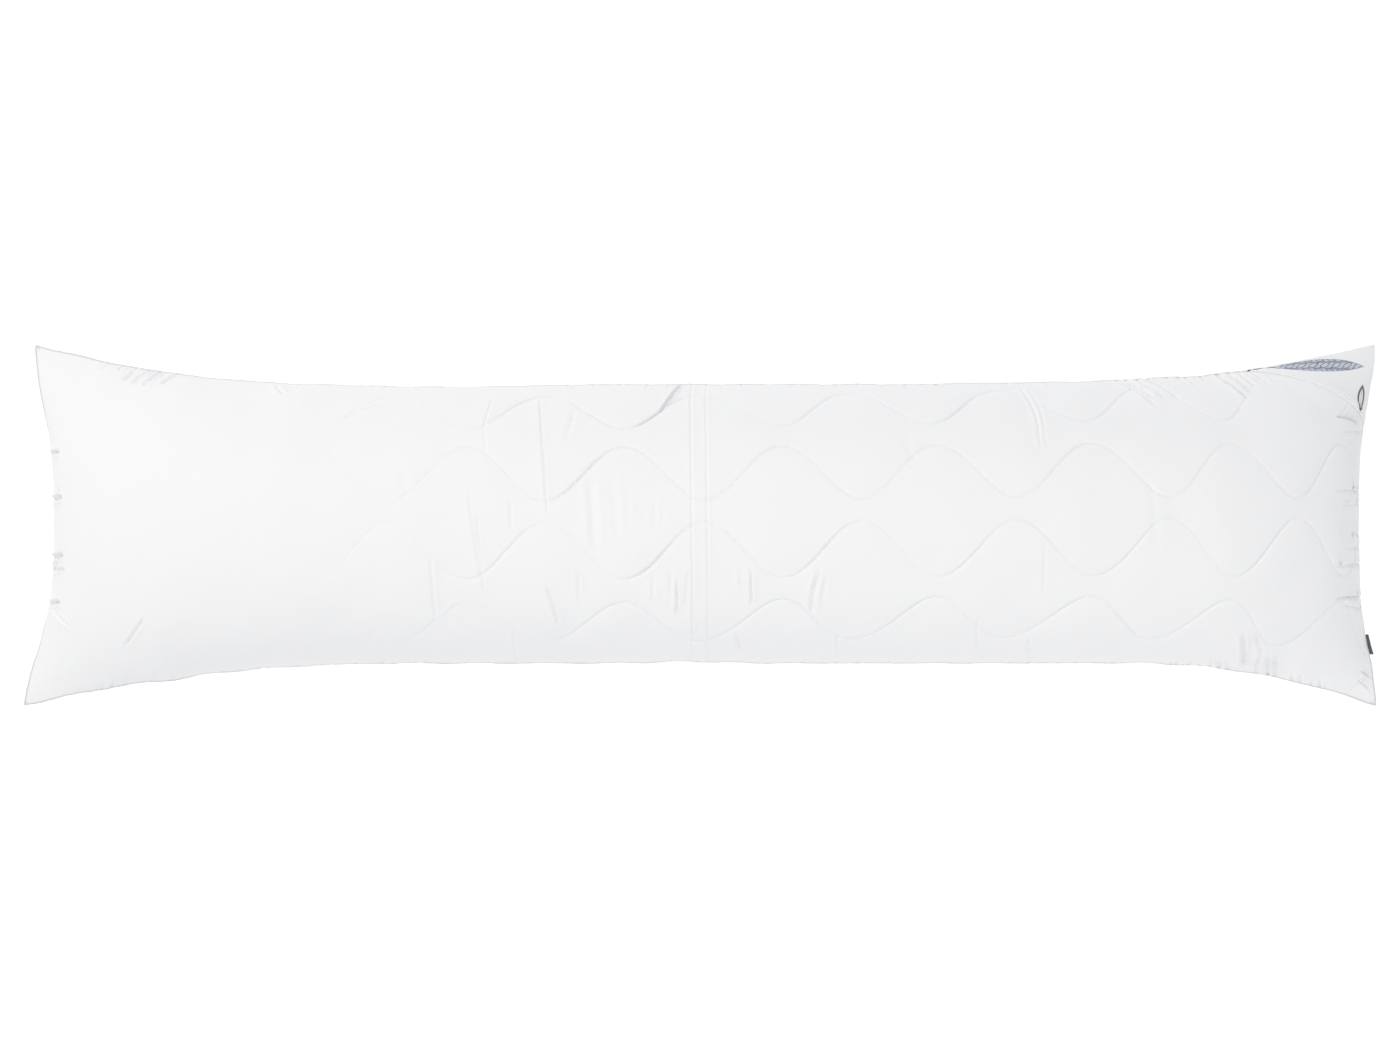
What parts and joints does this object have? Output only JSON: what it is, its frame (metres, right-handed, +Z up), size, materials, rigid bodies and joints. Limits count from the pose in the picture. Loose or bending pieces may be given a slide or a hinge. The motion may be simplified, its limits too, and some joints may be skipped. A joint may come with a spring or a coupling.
{
  "type": "body pillow",
  "caption": "Long filled pillow lying on its back, with quilted casing, drawn-in sides, a corner patch and a side label.",
  "frame": {"origin": "under the middle of the whole pillow, on the surface that it lies on", "axes": "+X along the pillow's length towards the corner patch's end, +Y across it towards the patch's long seam, +Z up through its face"},
  "size_m": [1.422, 0.3803, 0.1998],
  "materials": {
    "quilted_cloth": "white brushed microfibre, quilted in wave-like lines, matt with a faint sheen",
    "patch_cloth": "smooth white plain-woven cloth with a turned edge",
    "label_tape": "dark grey woven tape, blank"
  },
  "bodies": {
    "root": {"casing": "quilted_cloth", "corner_patch": "patch_cloth", "side_label": "label_tape"}
  },
  "joints": []
}
